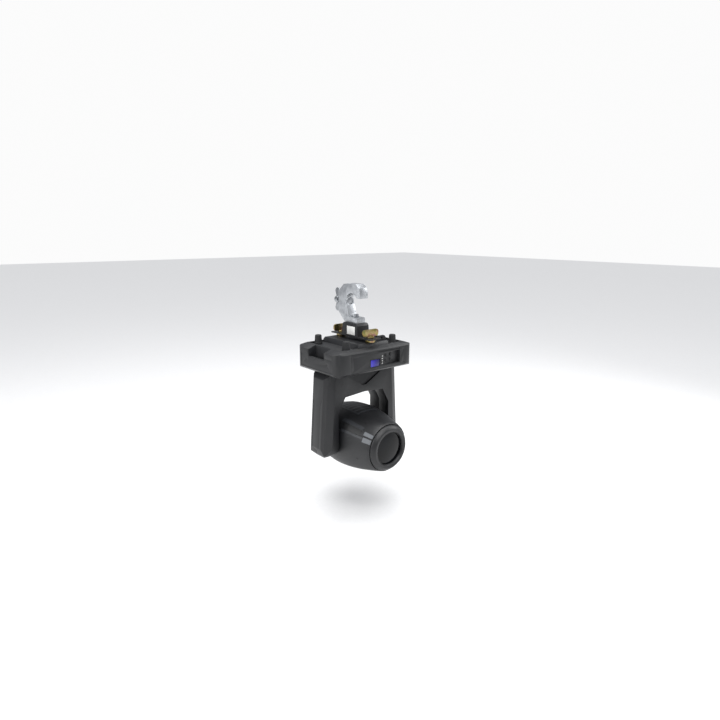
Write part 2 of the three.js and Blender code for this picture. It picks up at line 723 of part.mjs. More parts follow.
// The outside of the yoke, or the same shape with every face moved in by `inset`.
function yokeEnvelope(inset) {
  const b = yokeDepth / 2 - inset;
  const arm = (side) => {
    const inner = armInner + inset;
    const section = [
      [inner, -b], [120, -b], [yokeHalfBottom - 8 - inset, -b + 9], [yokeHalfBottom - inset, -b + 19],
      [yokeHalfBottom - inset, b - 19], [yokeHalfBottom - 8 - inset, b - 9], [120, b], [inner, b],
    ];
    const shape = shapeOf(section);
    const bottom = tiltAxisZ - yokeDepth / 2 - 1;
    const geometry = new THREE.ExtrudeGeometry(shape, { depth: yokeTop - bottom, bevelEnabled: false, steps: 1 });
    geometry.translate(0, 0, bottom);
    leanArm(geometry);
    if (side < 0) {
      geometry.applyMatrix4(new THREE.Matrix4().makeRotationZ(Math.PI));
    }
    return solidOf(geometry);
  };
  const crossbar = block(-armInner - 8, armInner + 8, -b, b, archTop - 60, yokeTop);
  const toe = tiltAxisZ - yokeDepth / 2;
  const front = slab([
    [-yokeHalfBottom + 30, toe - 1], [yokeHalfBottom - 30, toe - 1],
    [yokeHalfBottom - 18 - inset, toe + 3 + inset], [yokeHalfBottom - 5 - inset, toe + 16 + inset],
    [yokeHalfBottom + 1 - inset, toe + 38], [yokeHalfBottom + 9, -250], [yokeHalfTop - inset, yokeTop - 15], [yokeHalfTop - 15 - inset, yokeTop - inset],
    [-yokeHalfTop + 15 + inset, yokeTop - inset], [-yokeHalfTop + inset, yokeTop - 15], [-yokeHalfBottom - 9, -250],
    [-yokeHalfBottom - 1 + inset, toe + 38], [-yokeHalfBottom + 5 + inset, toe + 16 + inset],
    [-yokeHalfBottom + 18 + inset, toe + 3 + inset],
  ], 'y', -yokeDepth, yokeDepth);
  const end = new THREE.Shape();
  end.moveTo(b, yokeTop + 1);
  end.lineTo(-b, yokeTop + 1);
  end.lineTo(-b, tiltAxisZ);
  end.absarc(0, tiltAxisZ, b, Math.PI, 2 * Math.PI, false);
  const side = slab(end, 'x', -200, 200);
  const whole = common(join(arm(1), arm(-1), crossbar), front, side);
  return cut(whole, archOpening(inset), crossbarRecess(inset, -1), crossbarRecess(inset, 1));
}

// The shallow V-bottomed recess in the front and back of the crossbar, below the base.
function crossbarRecess(inset, side) {
  const a = recessHalfWidth + inset;
  const floor = yokeDepth / 2 - crossbarRecessDepth - inset;
  const outline = [
    [-a, yokeTop + 5], [-a, recessShoulderZ - inset], [-6, recessPointZ - inset], [6, recessPointZ - inset],
    [a, recessShoulderZ - inset], [a, yokeTop + 5],
  ];
  return side < 0 ? slab(outline, 'y', -yokeDepth, -floor) : slab(outline, 'y', floor, yokeDepth);
}

// Moves the outer side of an arm in towards its top.
function leanArm(geometry) {
  const lean = (yokeHalfBottom - yokeHalfTop) / (yokeTop - tiltAxisZ);
  const position = geometry.attributes.position;
  for (let i = 0; i < position.count; i += 1) {
    const x = position.getX(i);
    const z = position.getZ(i);
    if (x > 115) position.setX(i, x - lean * (z - tiltAxisZ));
  }
}

function archOpening(inset) {
  const a = armInner + inset;
  const outline = [
    [-a, tiltAxisZ - 200], [a, tiltAxisZ - 200], [a, archTop - 50 + inset], [72 + inset, archTop - 5 + inset],
    [0, archTop + inset], [-72 - inset, archTop - 5 + inset], [-a, archTop - 50 + inset],
  ];
  return slab(outline, 'y', -yokeDepth, yokeDepth);
}

// The outline of an arm's side cover, seen along X.
function sideCoverOutline(clearance) {
  const b = 15 + clearance;
  const shape = new THREE.Shape();
  shape.moveTo(b, -285);
  shape.lineTo(b + 14, -238);
  shape.lineTo(b + 25, -205);
  shape.lineTo(b + 25, yokeTop + 5);
  shape.lineTo(-b - 25, yokeTop + 5);
  shape.lineTo(-b - 25, -205);
  shape.lineTo(-b - 14, -238);
  shape.lineTo(-b, -285);
  shape.lineTo(-b, tiltAxisZ);
  shape.absarc(0, tiltAxisZ, b, Math.PI, 2 * Math.PI, false);
  return shape;
}

const shaftHole = (diameter, from, to) => rod('x', diameter, from, to, [0, tiltAxisZ], 40);

function yokeShell() {
  const shell = cut(yokeEnvelope(0), yokeEnvelope(wall));
  const panHole = rod('z', panShaftDiameter + 8, yokeTop - wall - 2, yokeTop + 2, [0, 0], 40);
  const tiltHole = shaftHole(tiltShaftDiameter + 6, -armInner - 5, armInner + 5);
  return cut(shell, panHole, tiltHole);
}

function yokeCovers() {
  const shell = yokeShell();
  const capSpace = [-1, 1].map((side) => slab(
    sideCoverOutline(gap), 'x', side > 0 ? 118 : -200, side > 0 ? 200 : -118,
  ));
  const body = cut(shell, ...capSpace);
  const half = yokeDepth;
  const front = common(body, block(-200, 200, -half, -gap / 2, -500, -100));
  const rear = common(body, block(-200, 200, gap / 2, half, -500, -100));
  const caps = [-1, 1].map((side) => common(shell, slab(
    sideCoverOutline(0), 'x', side > 0 ? 118 + gap : -200, side > 0 ? 200 : -118 - gap,
  )));
  return [
    piece('yoke_front_cover', front, finishes.casing),
    piece('yoke_rear_cover', rear, finishes.casing),
    piece('arm_side_cover_left', caps[0], finishes.casing),
    piece('arm_side_cover_right', caps[1], finishes.casing),
  ];
}

const framePlate = armInner + frameOffset;
const frameTop = yokeTop - wall - 3;

// The cast frame inside the yoke, with a bearing boss in each arm.
function yokeFrame() {
  const outer = framePlate + frameSheet;
  const crossbar = block(-outer, outer, -28, 28, frameTop - frameSheet, frameTop);
  const arms = [-1, 1].map((side) => {
    const end = new THREE.Shape();
    end.moveTo(28, frameTop);
    end.lineTo(-28, frameTop);
    end.lineTo(-28, tiltAxisZ);
    end.absarc(0, tiltAxisZ, 28, Math.PI, 2 * Math.PI, false);
    const x0 = side > 0 ? framePlate : -outer;
    const plate = slab(end, 'x', x0, x0 + frameSheet);
    const bossFrom = side > 0 ? x0 + 1 : x0 - bearingBoss + frameSheet;
    const boss = shaftHole(tiltShaftDiameter + 14, bossFrom, bossFrom + bearingBoss);
    return cut(join(plate, boss), shaftHole(tiltShaftDiameter + 2 * gap, bossFrom - 9, bossFrom + 20));
  });
  const motorHole = rod('x', 8, -outer - 1, -framePlate + 1, [0, tiltMotorZ], 16);
  const cableHole = rod('z', panShaftBore, frameTop - 5, frameTop + 1, [0, 0], 32);
  return piece('yoke_frame', cut(join(crossbar, ...arms), motorHole, cableHole), finishes.castAluminium);
}

// The hollow shaft that the yoke turns on, with its big pulley below the bearing.
function panShaft() {
  const bottom = frameTop + gap;
  const tube = rod('z', panShaftDiameter, bottom, chassisTop + 3, [0, 0], 40);
  const flange = rod('z', panShaftDiameter + 6, bottom, bottom + 2, [0, 0], 40);
  const bore = rod('z', panShaftBore, bottom - 1, chassisTop + 4, [0, 0], 32);
  const pulley = rod('z', panPulleyDiameter, panPulleyTop - beltWidth - 1, panPulleyTop, [0, 0], 48);
  return piece('pan_shaft', cut(join(tube, flange, pulley), bore), finishes.steel);
}

const tiltBeltInner = framePlate + frameSheet + tiltMotorLength + 2;

function tiltMotor() {
  const x1 = -(framePlate + frameSheet + gap);
  const x0 = x1 - tiltMotorLength;
  const body = slab(rectangle(tiltMotorSize, tiltMotorSize, 4, 0, tiltMotorZ), 'x', x0, x1);
  const shaft = rod('x', 5, x0 - beltWidth - 3, x0 + 1, [0, tiltMotorZ], 16);
  return piece('tilt_motor', join(body, shaft), finishes.steel);
}

function tiltDrivePulley() {
  const x1 = -tiltBeltInner;
  const pulley = ring('x', drivePulleyDiameter - 4, 5 + 2 * gap, x1 - beltWidth, x1, [0, tiltMotorZ], 24);
  return piece('tilt_drive_pulley', pulley, finishes.steel);
}

function tiltBelt() {
  const x1 = -tiltBeltInner - 0.5;
  const belt = beltAround(
    'x', x1 - beltWidth + 1, x1, [0, tiltAxisZ], tiltPulleyDiameter, [0, tiltMotorZ], drivePulleyDiameter - 4,
  );
  return piece('tilt_belt', belt, finishes.belt);
}

// ---------------------------------------------------------------- head, built along the tilt axis frame

// Half the height of the head at a distance in front of the tilt axis.
const headProfile = [
  [headFront, 70], [112, 78], [80, 84], [40, 89], [0, headRadius], [-40, 88], [-80, 79], [-105, 67], [-headBack, 48],
];

// How square the head's section is: 2 is round, and larger is squarer.
function squareness(ahead) {
  const t = THREE.MathUtils.clamp((headFront - ahead) / headFront, 0, 1);
  return 2 + 0.7 * Math.sin(t * Math.PI / 2);
}

// A barrel along Y from the head's profile, with every face moved in by `inset`.
function headBarrel(inset, front = headFront, back = -headBack) {
  const line = new THREE.CatmullRomCurve3(headProfile.map(([d, r]) => new THREE.Vector3(d, r, 0)));
  const count = 14;
  const samples = [];
  for (let k = 0; k <= count; k += 1) {
    const p = line.getPoint(k / count);
    if (p.x < front - 0.5 && p.x > back + 0.5) samples.push([p.x, p.y - inset]);
  }
  const rim = (ahead) => {
    const t = THREE.MathUtils.clamp((headFront - ahead) / (headFront + headBack), 0, 1);
    let best = line.getPoint(t);
    for (let k = 0; k <= 400; k += 1) {
      const p = line.getPoint(k / 400);
      if (Math.abs(p.x - ahead) < Math.abs(best.x - ahead)) best = p;
    }
    return best.y - inset;
  };
  const profile = [[front, 0], [front, rim(front)], ...samples, [back, rim(back)], [back, 0]];
  const points = profile.map(([d, r]) => new THREE.Vector2(r, -d));
  const geometry = new THREE.LatheGeometry(points, 40);
  const position = geometry.attributes.position;
  for (let i = 0; i < position.count; i += 1) {
    const x = position.getX(i);
    const y = position.getY(i);
    const z = position.getZ(i);
    const r = Math.hypot(x, z);
    if (r < 1e-6) continue;
    const n = squareness(-y);
    const grow = ((Math.abs(x / r) ** n) + (Math.abs(z / r) ** n)) ** (-1 / n);
    position.setX(i, x * grow);
    position.setZ(i, z * grow);
  }
  return solidOf(geometry).translate([0, 0, tiltAxisZ]);
}

const seamZ = tiltAxisZ + seamHeight;
const coverBack = -(headBack - rearCoverLength);

function headCovers() {
  const front = headFront;
  const shell = cut(headBarrel(0), headBarrel(headWall, headFront + 5, -headBack + headWall));
  const body = common(shell, block(-200, 200, -front - 1, -coverBack - gap / 2, -600, -200));
  const cap = common(shell, block(-200, 200, -coverBack + gap / 2, headBack + 1, -600, -200));
  const upper = common(body, block(-200, 200, -300, 300, seamZ + gap / 2, -200));
  const lower = common(body, block(-200, 200, -300, 300, -600, seamZ - gap / 2));
  const shaft = shaftHole(tiltShaftDiameter + 2 * gap, -120, 120);
  const vents = [];
  for (let k = -3; k <= 3; k += 1) {
    vents.push(block(-34, 34, headBack - 8, headBack + 2, tiltAxisZ + k * 9 - 1.8, tiltAxisZ + k * 9 + 1.8));
  }
  const topVents = [];
  for (let k = 0; k < 5; k += 1) {
    topVents.push(block(-40, 40, 10 + k * 11, 14 + k * 11, tiltAxisZ + 60, tiltAxisZ + 120));
  }
  return [
    piece('head_cover_upper', cut(upper, ...topVents), finishes.casing),
    piece('head_cover_lower', cut(lower, shaft), finishes.casing),
    piece('head_rear_cover', cut(cap, ...vents), finishes.casing),
  ];
}

function latheRing(points, sides = 40) {
  const closed = [...points, points[0]].map(([r, d]) => new THREE.Vector2(r, -d));
  const geometry = new THREE.LatheGeometry(closed, sides);
  return solidOf(geometry).translate([0, 0, tiltAxisZ]);
}

const bezelBack = headFront + gap;
const bezelFront = bezelBack + bezelLength;
const bezelRadius = bezelDiameter / 2;
const lensRadius = bezelRadius - bezelWall;

function frontBezel() {
  const shoulder = 68;
  const ringSolid = latheRing([
    [lensRadius + 1, bezelBack], [shoulder, bezelBack], [shoulder - 2, bezelBack + 5], [bezelRadius + 1, bezelFront - 1.5],
    [bezelRadius - 1, bezelFront], [lensRadius + 2, bezelFront - 1], [lensRadius - 1, bezelFront - 6],
    [lensRadius - 1, bezelFront - 9], [lensRadius + 1, bezelFront - 9],
  ].reverse());
  return piece('front_bezel', ringSolid, finishes.casing);
}

function frontLens() {
  const back = bezelFront - 9 - gap;
  const edge = lensRadius + 1 - gap;
  const bulge = [];
  for (let k = 0; k <= 5; k += 1) {
    const r = (lensRadius - 1.5) * (1 - k / 5);
    bulge.push([r, back + lensBulge * (1 - (r / lensRadius) ** 2)]);
  }
  const profile = [[0, back - 3], [edge, back - 3], [edge, back], ...bulge];
  const points = profile.map(([r, d]) => new THREE.Vector2(r, -d)).reverse();
  const geometry = new THREE.LatheGeometry(points, 40);
  return piece('front_lens', solidOf(geometry).translate([0, 0, tiltAxisZ]), finishes.glass);
}

const shelfTop = tiltAxisZ - 50;

// The plate frame between the two tilt shafts, which everything in the head is fastened to.
function headChassis() {
  const side = armInner - 17;
  const shelf = block(-side, side, -92, 70, shelfTop - 3, shelfTop);
  const shelfFit = common(shelf, headBarrel(headWall + 1));
  const cheeks = [-1, 1].map((s) => {
    const x0 = s > 0 ? side - 3 : -side;
    const plate = block(x0, x0 + 3, -28, 28, shelfTop - 2, tiltAxisZ + 30);
    return cut(plate, shaftHole(tiltShaftBore, x0 - 1, x0 + 4));
  });
  const whole = join(shelfFit, ...cheeks, wheelBracket(), prismBearing(), focusRails());
  return piece('head_chassis', common(whole, headBarrel(headWall + 1)), finishes.steel);
}

// A hollow tilt shaft; the left one carries the big belt pulley.
function tiltShaft(name, side) {
  const inner = armInner - 17 + gap;
  const outer = side < 0 ? tiltBeltInner + beltWidth : framePlate + frameSheet + bearingBoss;
  const [from, to] = side > 0 ? [inner, outer] : [-outer, -inner];
  const tube = shaftHole(tiltShaftDiameter, from, to);
  const pulley = shaftHole(tiltPulleyDiameter, -tiltBeltInner - beltWidth, -tiltBeltInner);
  const whole = side < 0 ? join(tube, pulley) : tube;
  return piece(name, cut(whole, shaftHole(tiltShaftBore, from - 1, to + 1)), finishes.steel);
}

// ---- optics, on the lens axis (d is the distance in front of the tilt axis)

const onAxis = [0, tiltAxisZ];
const opticRod = (diameter, d0, d1, centre = onAxis, sides = 36) => rod('y', diameter, -d1, -d0, centre, sides);
const opticRing = (outer, inner, d0, d1, centre = onAxis, sides = 36) => (
  cut(opticRod(outer, d0, d1, centre, sides), opticRod(inner, d0 - 1, d1 + 1, centre, sides))
);

function ledEngine() {
  const base = opticRod(74, -48, -44, onAxis, 32);
  const emitter = opticRod(30, -45, -38, onAxis, 24);
  const fins = [];
  for (let k = -5; k <= 5; k += 1) {
    fins.push(block(k * 6 - 1, k * 6 + 1, 47, 76, tiltAxisZ - 30, tiltAxisZ + 30));
  }
  return piece('led_engine', join(base, emitter, ...fins), finishes.castAluminium);
}

const wheelHub = 34;
const wheelBore = 6;

// A disc with a ring of round holes; it turns on a pin beside the light path.
function patternWheel(name, d, holes, holeDiameter, finish) {
  const centre = [0, tiltAxisZ + wheelHub];
  let solid = opticRing(wheelDiameter, wheelBore + 2 * gap, d, d + 1.5, centre, 36);
  for (let k = 0; k < holes; k += 1) {
    const angle = -Math.PI / 2 + (k * 2 * Math.PI) / holes;
    const hole = [wheelHub * Math.cos(angle), tiltAxisZ + wheelHub + wheelHub * Math.sin(angle)];
    solid = cut(solid, opticRod(holeDiameter, d - 1, d + 3, hole, 12));
  }
  return piece(name, solid, finish);
}

const colourWheelAt = -28;
const goboWheelAt = -16;

function wheelBracket() {
  const centre = [0, tiltAxisZ + wheelHub];
  const pin = opticRod(wheelBore, colourWheelAt - 4, goboWheelAt + 6, centre, 16);
  const plate = block(-30, 30, -goboWheelAt - 8, -goboWheelAt - 5, shelfTop - 1, tiltAxisZ + wheelHub + 12);
  return join(pin, cut(plate, opticRod(36, goboWheelAt, goboWheelAt + 12)));
}

const prismAt = 18;

function prism() {
  const disc = opticRod(38, prismAt, prismAt + 3, onAxis, 30);
  const facets = [0, 1, 2, 3, 4, 5].map((k) => {
    const angle = k * Math.PI / 3;
    const centre = [10 * Math.cos(angle), tiltAxisZ + 10 * Math.sin(angle)];
    return opticRod(9, prismAt + 2, prismAt + 5, centre, 12);
  });
  return piece('prism', join(disc, ...facets), finishes.glass);
}

function prismBearing() {
  const outer = 38 + 2 * gap + 8;
  const rimPart = opticRing(outer, 38 + 2 * gap, prismAt - 1, prismAt + 4, onAxis, 32);
  const post = block(-6, 6, -prismAt - 3, -prismAt, shelfTop - 1, tiltAxisZ - 21);
  return join(rimPart, post);
}

const railX = 34;
const focusAt = 58;
const focusTravel = 24;

function focusRails() {
  const rails = [-1, 1].map((s) => opticRod(6, 36, 104, [s * railX, tiltAxisZ], 16));
  const plate = cut(
    block(-42, 42, -39, -36, shelfTop - 1, tiltAxisZ + 10),
    opticRod(44, 30, 45, onAxis, 32),
  );
  return join(plate, ...rails);
}

function focusCarriage() {
  const plate = slab(rectangle(86, 64, 10, 0, tiltAxisZ), 'y', -focusAt - 8, -focusAt);
  const bore = opticRod(50, focusAt - 1, focusAt + 9, onAxis, 36);
  const slides = [-1, 1].map((s) => opticRod(6 + 2 * gap, focusAt - 1, focusAt + 9, [s * railX, tiltAxisZ], 16));
  return piece('focus_carriage', cut(plate, bore, ...slides), finishes.blackSteel);
}

function focusLens() {
  const half = 50 / 2 - gap;
  const profile = [[0, focusAt - 1], [14, focusAt], [half, focusAt + 3], [half, focusAt + 6], [14, focusAt + 9], [0, focusAt + 10]];
  const points = profile.map(([r, d]) => new THREE.Vector2(r, -d)).reverse();
  const geometry = new THREE.LatheGeometry(points, 32);
  return piece('focus_lens', solidOf(geometry).translate([0, 0, tiltAxisZ]), finishes.glass);
}

const fanAt = headBack - 30;

function fanFrame() {
  const frame = slab(rectangle(fanSize, fanSize, 6, 0, tiltAxisZ), 'y', fanAt, fanAt + 15);
  const bore = rod('y', fanSize - 5, fanAt - 1, fanAt + 16, onAxis, 40);
  const bars = join(
    block(-fanSize / 2 + 1, fanSize / 2 - 1, fanAt, fanAt + 2.5, tiltAxisZ - 2, tiltAxisZ + 2),
    block(-2, 2, fanAt, fanAt + 2.5, tiltAxisZ - fanSize / 2 + 1, tiltAxisZ + fanSize / 2 - 1),
  );
  return piece('fan_frame', join(cut(frame, bore), bars), finishes.rubber);
}

function fanRotor() {
  const hub = rod('y', 30, fanAt + 3, fanAt + 13, onAxis, 24);
  const blades = [];
  for (let k = 0; k < 7; k += 1) {
    const geometry = new THREE.BoxGeometry(24, 1.4, 9);
    geometry.rotateX(Math.PI / 4);
    geometry.translate(24, 0, 0);
    geometry.rotateY(k * 2 * Math.PI / 7);
    geometry.translate(0, fanAt + 8, tiltAxisZ);
    blades.push(solidOf(geometry));
  }
  return piece('fan_rotor', join(hub, ...blades), finishes.rubber);
}

// ---------------------------------------------------------------- assembly

const model = new THREE.Group();
const yoke = new THREE.Group();
const head = new THREE.Group();
model.add(yoke);
yoke.add(head);

model.add(clampHook(), clampPressurePad(), clampWingBolt(), mountingBolt(), omegaBracket());
for (const [end, side] of [['front', -1], ['rear', 1]]) {
  model.add(camlock(`camlock_${end}`, side));
  model.add(camlockReceptacle(`camlock_receptacle_${end}`, side));
}
model.add(baseShell(), baseBottomPlate(), baseTopPlate(), safetyEye());
for (const [end, sideX] of [['left', -1], ['right', 1]]) {
  model.add(handle(`handle_${end}`, sideX));
  model.add(rubberFoot(`foot_front_${end}`, sideX, -1));
  model.add(rubberFoot(`foot_rear_${end}`, sideX, 1));
}
model.add(displayPanel(), lcdScreen());
for (let index = 0; index < buttonGrid.length; index += 1) model.add(menuButton(index));
model.add(connectorPanel());
sockets.forEach((entry, index) => model.add(socket(entry, index)));
model.add(chassisPlate(), panMotor(), panDrivePulley(), panBelt());
model.add(powerSupply(), mainBoard());

yoke.add(...yokeCovers(), yokeFrame(), panShaft());
yoke.add(tiltMotor(), tiltDrivePulley(), tiltBelt());

head.add(...headCovers(), frontBezel(), frontLens(), headChassis());
head.add(tiltShaft('tilt_shaft_left', -1), tiltShaft('tilt_shaft_right', 1));
head.add(ledEngine());
head.add(patternWheel('colour_wheel', colourWheelAt, 9, 18, finishes.colour));
head.add(patternWheel('gobo_wheel', goboWheelAt, 8, 14, finishes.blackSteel));
head.add(prism(), focusCarriage(), focusLens());
head.add(fanFrame(), fanRotor());

export default model;
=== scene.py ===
"""The looks of a moving head light that hangs from a truss clamp."""

import json
from math import cos, pi, radians, sin

import bmesh
import bpy
from mathutils import Matrix, Vector


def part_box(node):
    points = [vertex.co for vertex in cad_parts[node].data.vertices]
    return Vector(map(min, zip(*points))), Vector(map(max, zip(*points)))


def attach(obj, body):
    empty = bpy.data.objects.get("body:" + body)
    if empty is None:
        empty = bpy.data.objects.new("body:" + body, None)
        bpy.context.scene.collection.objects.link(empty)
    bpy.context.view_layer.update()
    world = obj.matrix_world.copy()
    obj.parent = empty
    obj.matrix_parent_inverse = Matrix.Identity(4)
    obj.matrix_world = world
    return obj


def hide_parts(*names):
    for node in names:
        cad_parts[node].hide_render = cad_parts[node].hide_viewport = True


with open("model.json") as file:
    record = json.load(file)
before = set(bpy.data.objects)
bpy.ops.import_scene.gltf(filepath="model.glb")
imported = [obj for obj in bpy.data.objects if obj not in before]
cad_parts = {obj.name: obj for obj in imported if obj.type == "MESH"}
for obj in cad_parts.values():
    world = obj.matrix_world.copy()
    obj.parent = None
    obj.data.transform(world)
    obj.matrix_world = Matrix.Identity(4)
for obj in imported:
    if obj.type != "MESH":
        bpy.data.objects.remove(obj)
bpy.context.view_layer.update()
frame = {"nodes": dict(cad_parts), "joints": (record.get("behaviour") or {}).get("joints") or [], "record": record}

MM = 0.001
TILT_AXIS = next(j for j in frame["joints"] if j["name"] == "tilt")["pos_m"][2]
HEAD_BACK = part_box("head_rear_cover")[1][1]
BASE_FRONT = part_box("display_panel")[0][1]
SHARP_ANGLE = radians(34)
MERGE_DISTANCE = 0.01 * MM
COVER_WALL = 2.4 * MM

BODY_OF = {
    node: body
    for body, nodes in frame["record"]["behaviour"]["bodies"].items()
    for node in nodes
}
SLOT_OF = {s["node"]: s["material_slot"] for s in frame["record"]["subparts"]}


# ------------------------------------------------------------------ camera


def place_camera():
    camera = bpy.data.objects.new("camera", bpy.data.cameras.new("camera"))
    bpy.context.scene.collection.objects.link(camera)
    yaw, pitch, roll = radians(49.8), radians(13.4), radians(0.3)
    forward = Vector((cos(yaw) * cos(pitch), sin(yaw) * cos(pitch), -sin(pitch)))
    turn = forward.to_track_quat("-Z", "Y").to_matrix().to_4x4()
    camera.matrix_world = (
        Matrix.Translation((-1.0036, -1.2090, 0.2011))
        @ turn
        @ Matrix.Rotation(roll, 4, "Z")
    )
    camera.data.lens = 27.25
    camera.data.sensor_width = 36
    camera.data.clip_start = 0.05
    camera.data.dof.use_dof = False
    bpy.context.scene.camera = camera


# ------------------------------------------------------------------ materials


def colour(hex_text):
    """An sRGB hex colour as the linear colour that a shader takes."""
    parts = [int(hex_text[i : i + 2], 16) / 255 for i in (1, 3, 5)]
    linear = [c / 12.92 if c <= 0.04045 else ((c + 0.055) / 1.055) ** 2.4 for c in parts]
    return (*linear, 1.0)


def node(tree, kind, inputs=None, **settings):
    """Adds a node; an input is a plain value or the output that feeds it."""
    made = tree.nodes.new(kind)
    for name, value in settings.items():
        setattr(made, name, value)
    for name, value in (inputs or {}).items():
        if isinstance(value, bpy.types.NodeSocket):
            tree.links.new(value, made.inputs[name])
        else:
            made.inputs[name].default_value = value
    return made


def new_material(name):
    material = bpy.data.materials.new(name)
    material.use_nodes = True
    tree = material.node_tree
    tree.nodes.clear()
    shader = node(tree, "ShaderNodeBsdfPrincipled")
    node(tree, "ShaderNodeOutputMaterial", {"Surface": shader.outputs[0]})
    place = node(tree, "ShaderNodeTexCoord").outputs["Object"]
    return material, tree, shader, place


def ramp(tree, factor, stops):
    made = node(tree, "ShaderNodeValToRGB", {"Fac": factor})
    elements = made.color_ramp.elements
    while len(elements) < len(stops):
        elements.new(0.5)
    for element, (position, shade) in zip(elements, stops):
        element.position = position
        element.color = shade
    return made.outputs["Color"]


def spread(tree, factor, low, high):
    return node(
        tree,
        "ShaderNodeMapRange",
        {"Value": factor, "From Min": 0.3, "From Max": 0.7, "To Min": low, "To Max": high},
    ).outputs["Result"]


def bump(tree, shader, height, strength, distance):
    made = node(
        tree,
        "ShaderNodeBump",
        {"Height": height, "Strength": strength, "Distance": distance},
    )
    tree.links.new(made.outputs["Normal"], shader.inputs["Normal"])


def textured_abs(name, dark, light, rough):
    """Spark-textured ABS: a fine matt grain that breaks up highlights, with broad
    soft patches a little paler than the rest."""
    material, tree, shader, place = new_material(name)
    grain_size = 0.9 * MM
    grain = node(tree, "ShaderNodeTexNoise", {"Vector": place, "Scale": 1 / grain_size, "Detail": 3.0})
    cloud = node(
        tree,
        "ShaderNodeTexNoise",
        {"Vector": place, "Scale": 14.0, "Detail": 6.0, "Roughness": 0.62},
    )
    tint = ramp(tree, cloud.outputs["Fac"], [(0.3, colour(dark)), (0.72, colour(light))])
    tree.links.new(tint, shader.inputs["Base Color"])
    shine = spread(tree, grain.outputs["Fac"], rough - 0.05, rough + 0.08)
    tree.links.new(shine, shader.inputs["Roughness"])
    shader.inputs["IOR"].default_value = 1.53
    bump(tree, shader, grain.outputs["Fac"], 0.22, 0.06 * MM)
    return material


def powder_coat(name, shade, paler):
    """Black powder coat: an orange-peel skin, soft and even, with a satin shine."""
    material, tree, shader, place = new_material(name)
    peel = node(tree, "ShaderNodeTexNoise", {"Vector": place, "Scale": 1 / (1.6 * MM), "Detail": 2.0})
    tint = ramp(tree, peel.outputs["Fac"], [(0.35, colour(shade)), (0.7, colour(paler))])
    tree.links.new(tint, shader.inputs["Base Color"])
    tree.links.new(spread(tree, peel.outputs["Fac"], 0.36, 0.5), shader.inputs["Roughness"])
    bump(tree, shader, peel.outputs["Fac"], 0.3, 0.08 * MM)
    return material


def worked_metal(name, dark, light, rough, grain_mm, stretch):
    """Bare or plated metal: blurred reflections with fine drawn or cast marks."""
    material, tree, shader, place = new_material(name)
    drawn = node(tree, "ShaderNodeMapping", {"Vector": place, "Scale": stretch})
    marks = node(
        tree,
        "ShaderNodeTexNoise",
        {"Vector": drawn.outputs["Vector"], "Scale": 1 / (grain_mm * MM), "Detail": 4.0},
    )
    cloud = node(tree, "ShaderNodeTexNoise", {"Vector": place, "Scale": 60.0, "Detail": 5.0})
    tint = ramp(tree, cloud.outputs["Fac"], [(0.32, colour(dark)), (0.66, colour(light))])
    tree.links.new(tint, shader.inputs["Base Color"])
    shader.inputs["Metallic"].default_value = 1.0
    shine = spread(tree, marks.outputs["Fac"], rough - 0.08, rough + 0.12)
    tree.links.new(shine, shader.inputs["Roughness"])
    bump(tree, shader, marks.outputs["Fac"], 0.2, 0.05 * MM)
    return material


def yellow_passivated_zinc(name):
    """Yellow passivated zinc: gold that drifts to green and rose in soft patches."""
    material, tree, shader, place = new_material(name)
    drift = node(
        tree,
        "ShaderNodeTexNoise",
        {"Vector": place, "Scale": 38.0, "Detail": 3.0, "Distortion": 1.2},
    )
    tint = ramp(
        tree,
        drift.outputs["Fac"],
        [
            (0.30, colour("#75804f")),
            (0.42, colour("#a8945a")),
            (0.52, colour("#b8a878")),
            (0.62, colour("#a37c66")),
            (0.72, colour("#8a6c78")),
        ],
    )
    tree.links.new(tint, shader.inputs["Base Color"])
    shader.inputs["Metallic"].default_value = 1.0
    grain = node(tree, "ShaderNodeTexNoise", {"Vector": place, "Scale": 1 / (1.1 * MM), "Detail": 2.0})
    tree.links.new(spread(tree, grain.outputs["Fac"], 0.24, 0.38), shader.inputs["Roughness"])
    return material


def moulded_rubber(name):
    """Moulded rubber: deep matt black with a dusty bloom."""
    material, tree, shader, place = new_material(name)
    bloom = node(tree, "ShaderNodeTexNoise", {"Vector": place, "Scale": 90.0, "Detail": 5.0})
    tint = ramp(tree, bloom.outputs["Fac"], [(0.35, colour("#141516")), (0.7, colour("#232426"))])
    tree.links.new(tint, shader.inputs["Base Color"])
    tree.links.new(spread(tree, bloom.outputs["Fac"], 0.62, 0.8), shader.inputs["Roughness"])
    bump(tree, shader, bloom.outputs["Fac"], 0.15, 0.05 * MM)
    return material


def coated_glass(name, centre, edge):
    """Coated optical glass: dark and deep, mirror-smooth, with a faint film tint."""
    material, tree, shader, place = new_material(name)
    film = node(tree, "ShaderNodeTexNoise", {"Vector": place, "Scale": 9.0, "Detail": 1.0})
    tint = ramp(tree, film.outputs["Fac"], [(0.4, colour(centre)), (0.62, colour(edge))])
    tree.links.new(tint, shader.inputs["Base Color"])
    shader.inputs["Roughness"].default_value = 0.06
    shader.inputs["IOR"].default_value = 1.45
    shader.inputs["Specular IOR Level"].default_value = 0.28
    return material


def lit_screen(name):
    """A back-lit blue display behind clear acrylic, with painted shade that darkens it towards its right end."""
    material, tree, shader, place = new_material(name)
    screen_left, screen_right = -26 * MM, 10 * MM
    across = node(tree, "ShaderNodeSeparateXYZ", {"Vector": place})
    painted_shade_across = node(
        tree,
        "ShaderNodeMapRange",
        {"Value": across.outputs["X"], "From Min": screen_left, "From Max": screen_right},
    )
    # painted shade: the blue runs from bright at the screen's left end to near black at its right end
    stops = [(0.0, colour("#3f3ab8")), (0.55, colour("#211b78")), (1.0, colour("#100d33"))]
    glow_and_painted_shade = ramp(tree, painted_shade_across.outputs["Result"], stops)
    tree.links.new(glow_and_painted_shade, shader.inputs["Base Color"])
    tree.links.new(glow_and_painted_shade, shader.inputs["Emission Color"])
    shader.inputs["Emission Strength"].default_value = 0.22
    shader.inputs["Roughness"].default_value = 0.12
    return material


